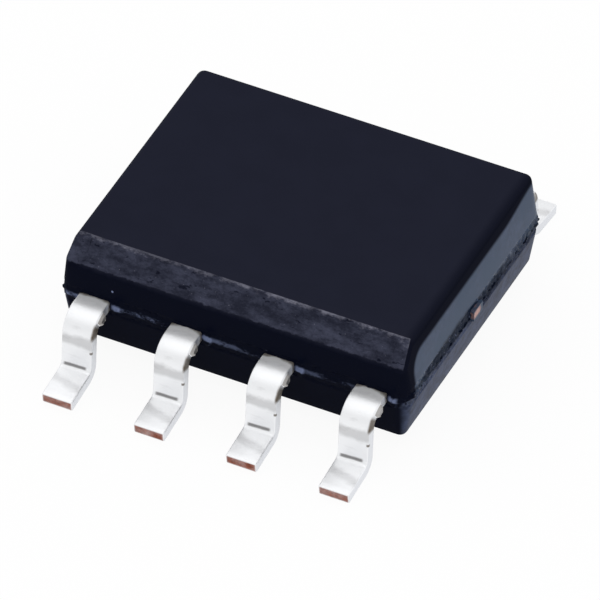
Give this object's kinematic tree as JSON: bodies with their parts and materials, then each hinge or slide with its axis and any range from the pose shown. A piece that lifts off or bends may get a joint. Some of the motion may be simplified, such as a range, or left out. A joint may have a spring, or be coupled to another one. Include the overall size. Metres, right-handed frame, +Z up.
{
  "type": "memory chip",
  "caption": "Black moulded small-outline memory chip with silvery gull-wing leads along both long sides, a bevelled edge, and its lead frame, die and bond wires inside.",
  "frame": {"origin": "on the board plane under the middle of the package: the middle of the bounding box at its lowest point, where the toes of the leads stand", "axes": "+X along the rows of leads, +Y across them from the bevelled pin 1 side (leads 1 to 4) to the other row (leads 5 to 8), +Z up from the board"},
  "size_m": [0.0048, 0.006, 0.0016],
  "materials": {
    "mould_compound": "matte",
    "lead_finish": "satin",
    "copper_alloy": "satin",
    "silver_epoxy": "matte",
    "silicon": "gloss",
    "gold_wire": "polished"
  },
  "bodies": {
    "root": {"mould_body": "mould_compound", "lead_1": "lead_finish", "lead_2": "lead_finish", "lead_3": "lead_finish", "lead_4": "lead_finish", "lead_5": "lead_finish", "lead_6": "lead_finish", "lead_7": "lead_finish", "lead_8": "lead_finish", "die_pad": "copper_alloy", "die_attach": "silver_epoxy", "memory_die": "silicon", "bond_wire_1": "gold_wire", "bond_wire_2": "gold_wire", "bond_wire_3": "gold_wire", "bond_wire_4": "gold_wire", "bond_wire_5": "gold_wire", "bond_wire_6": "gold_wire", "bond_wire_7": "gold_wire", "bond_wire_8": "gold_wire"}
  },
  "joints": []
}
